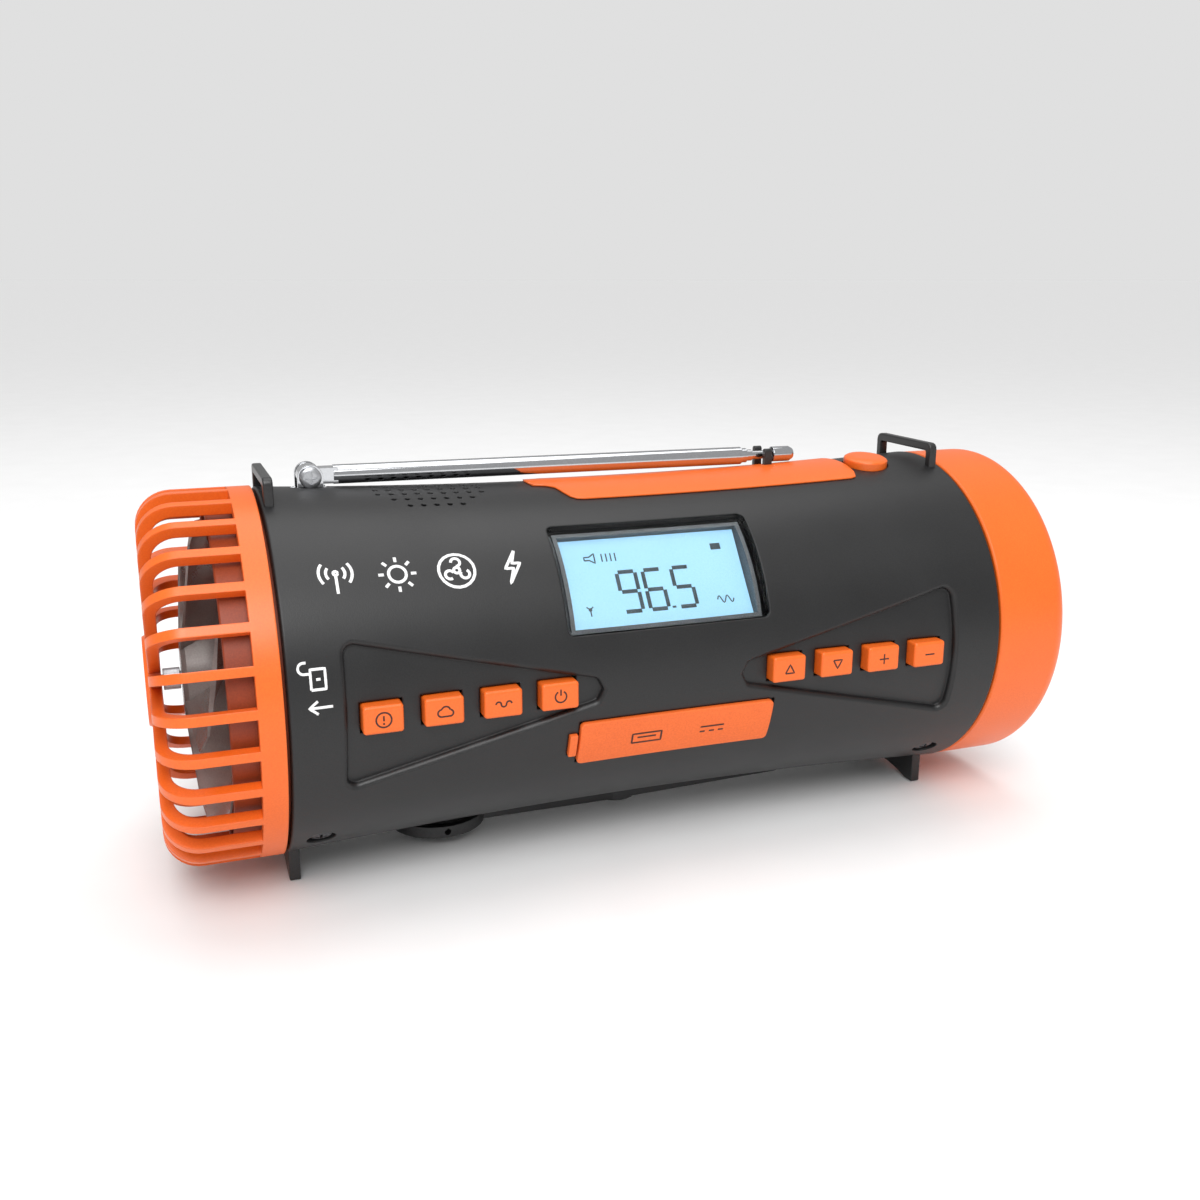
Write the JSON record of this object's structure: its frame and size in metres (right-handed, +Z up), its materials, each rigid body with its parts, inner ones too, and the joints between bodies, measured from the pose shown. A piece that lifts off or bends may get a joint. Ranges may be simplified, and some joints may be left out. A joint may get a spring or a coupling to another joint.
{
  "type": "emergency radio",
  "caption": "Cylindrical emergency radio with a fan behind a barred guard at one end, a torch at the other, telescopic antenna and hand crank.",
  "frame": {"origin": "under the middle of the radio on the plane its feet stand on", "axes": "+X along the barrel from the fan guard to the torch, +Y to the back, away from the display, +Z up through the carrying loops"},
  "size_m": [0.2222, 0.0856, 0.0945],
  "materials": {
    "black_plastic": "semi-gloss moulded",
    "bronze": "turned",
    "cell_wrap": "shrink sleeve",
    "charcoal_plastic": "fine matt texture",
    "chrome": "polished plate",
    "circuit_board": "printed board",
    "clear_plastic": "clear polished",
    "display_glass": "lit display",
    "grey_plastic": "satin",
    "led_yellow": "phosphor on a white board",
    "mirror_plastic": "vacuum plated",
    "orange_plastic": "satin moulded",
    "orange_rubber": "matt, flexible",
    "smoke_plastic": "smoky translucent",
    "speaker_black": "paper cone in a steel basket",
    "steel": "satin",
    "white_nylon": "moulded"
  },
  "bodies": {
    "root": {"antenna_bracket": "chrome", "antenna_clip": "black_plastic", "antenna_pivot_screw": "steel", "battery_cell_lower": "cell_wrap", "battery_cell_upper": "cell_wrap", "battery_tray": "black_plastic", "crank_bush": "bronze", "dc_jack": "black_plastic", "fan_bulkhead": "orange_plastic", "fan_motor": "steel", "flap_anchor": "orange_rubber", "foot_left": "black_plastic", "foot_right": "black_plastic", "front_screw_left": "steel", "front_screw_right": "steel", "front_shell": "charcoal_plastic", "gear_cage": "steel", "generator": "steel", "lcd_frame": "grey_plastic", "lcd_panel": "display_glass", "lcd_window": "clear_plastic", "main_board": "circuit_board", "rear_cover": "charcoal_plastic", "rear_lower_screw_left": "steel", "rear_lower_screw_right": "steel", "rear_upper_screw_left": "steel", "rear_upper_screw_right": "steel", "speaker": "speaker_black", "strap_loop_left": "black_plastic", "strap_loop_right": "black_plastic", "top_panel": "orange_plastic", "torch_bezel": "orange_plastic", "torch_led": "led_yellow", "torch_lens": "clear_plastic", "torch_reflector": "mirror_plastic", "usb_socket": "steel"},
    "guard": {"fan_guard": "orange_plastic"},
    "impeller": {"fan_impeller": "smoke_plastic", "fan_shaft": "steel"},
    "key_band_body": {"key_band": "orange_plastic"},
    "key_power_body": {"key_power": "orange_plastic"},
    "key_sos_body": {"key_sos": "orange_plastic"},
    "key_tune_down_body": {"key_tune_down": "orange_plastic"},
    "key_tune_up_body": {"key_tune_up": "orange_plastic"},
    "key_volume_down_body": {"key_volume_down": "orange_plastic"},
    "key_volume_up_body": {"key_volume_up": "orange_plastic"},
    "key_weather_body": {"key_weather": "orange_plastic"},
    "torch_button_body": {"torch_button": "orange_plastic"},
    "flap": {"port_flap": "orange_rubber"},
    "crank": {"crank_arm": "black_plastic", "crank_screw": "steel", "crank_gear": "white_nylon"},
    "knob": {"crank_knob": "black_plastic"},
    "idler": {"idler_gear": "white_nylon"},
    "generator_rotor": {"generator_pinion": "bronze"},
    "antenna": {"antenna_tube": "chrome"},
    "section_1": {"antenna_section_1": "chrome"},
    "section_2": {"antenna_section_2": "chrome"},
    "section_3": {"antenna_section_3": "chrome", "antenna_tip": "chrome"}
  },
  "joints": [
    {"name": "guard_slide", "type": "slide", "parent": "root", "child": "guard", "axis": [-1, 0, 0], "range_m": [0, 0.03]},
    {"name": "fan_spin", "type": "hinge", "parent": "root", "child": "impeller", "pos_m": [-0.0981, 0, 0.0476], "axis": [1, 0, 0], "continuous": true},
    {"name": "key_band_press", "type": "slide", "parent": "root", "child": "key_band_body", "axis": [0, 1, 0.0087], "range_m": [0, 0.001], "stiffness_N_per_m": 400},
    {"name": "key_power_press", "type": "slide", "parent": "root", "child": "key_power_body", "axis": [0, 1, 0.0087], "range_m": [0, 0.001], "stiffness_N_per_m": 400},
    {"name": "key_sos_press", "type": "slide", "parent": "root", "child": "key_sos_body", "axis": [0, 1, 0.0087], "range_m": [0, 0.001], "stiffness_N_per_m": 400},
    {"name": "key_tune_down_press", "type": "slide", "parent": "root", "child": "key_tune_down_body", "axis": [0, 1, 0.0087], "range_m": [0, 0.001], "stiffness_N_per_m": 400},
    {"name": "key_tune_up_press", "type": "slide", "parent": "root", "child": "key_tune_up_body", "axis": [0, 1, 0.0087], "range_m": [0, 0.001], "stiffness_N_per_m": 400},
    {"name": "key_volume_down_press", "type": "slide", "parent": "root", "child": "key_volume_down_body", "axis": [0, 1, 0.0087], "range_m": [0, 0.001], "stiffness_N_per_m": 400},
    {"name": "key_volume_up_press", "type": "slide", "parent": "root", "child": "key_volume_up_body", "axis": [0, 1, 0.0087], "range_m": [0, 0.001], "stiffness_N_per_m": 400},
    {"name": "key_weather_press", "type": "slide", "parent": "root", "child": "key_weather_body", "axis": [0, 1, 0.0087], "range_m": [0, 0.001], "stiffness_N_per_m": 400},
    {"name": "torch_button_press", "type": "slide", "parent": "root", "child": "torch_button_body", "axis": [0, 0.1288, -0.9917], "range_m": [0, 0.001], "stiffness_N_per_m": 400},
    {"name": "flap_hinge", "type": "hinge", "parent": "root", "child": "flap", "pos_m": [-0.02105, -0.03885, 0.03396], "axis": [0, 0.3313, -0.9435], "range_deg": [0, 110]},
    {"name": "crank_turn", "type": "hinge", "parent": "root", "child": "crank", "pos_m": [0.00255, 0, 0.0064], "axis": [0, 0, -1], "continuous": true},
    {"name": "knob_spin", "type": "hinge", "parent": "crank", "child": "knob", "pos_m": [-0.04524, 0, 0.005], "axis": [0, 0, -1], "continuous": true},
    {"name": "idler_turn", "type": "hinge", "parent": "root", "child": "idler", "pos_m": [0.02325, 0, 0.0191], "axis": [0, 0, -1], "continuous": true},
    {"name": "generator_turn", "type": "hinge", "parent": "root", "child": "generator_rotor", "pos_m": [0.04125, 0, 0.0231], "axis": [0, 0, -1], "continuous": true},
    {"name": "antenna_tilt", "type": "hinge", "parent": "root", "child": "antenna", "pos_m": [-0.07165, 0.00546, 0.09157], "axis": [0, -1, 0], "range_deg": [0, 100]},
    {"name": "antenna_extend_1", "type": "slide", "parent": "antenna", "child": "section_1", "axis": [1, 0, -0.0063], "range_m": [0, 0.085]},
    {"name": "antenna_extend_2", "type": "slide", "parent": "section_1", "child": "section_2", "axis": [1, 0, -0.0063], "range_m": [0, 0.082]},
    {"name": "antenna_extend_3", "type": "slide", "parent": "section_2", "child": "section_3", "axis": [1, 0, -0.0063], "range_m": [0, 0.08]}
  ],
  "couplings": [
    {"joint": "idler_turn", "follows": "crank_turn", "ratio": -3.6},
    {"joint": "generator_turn", "follows": "crank_turn", "ratio": 10.8},
    {"joint": "antenna_extend_1", "follows": "antenna_tilt", "m_per_rad": 0.0486},
    {"joint": "antenna_extend_2", "follows": "antenna_tilt", "m_per_rad": 0.0468},
    {"joint": "antenna_extend_3", "follows": "antenna_tilt", "m_per_rad": 0.0456}
  ]
}
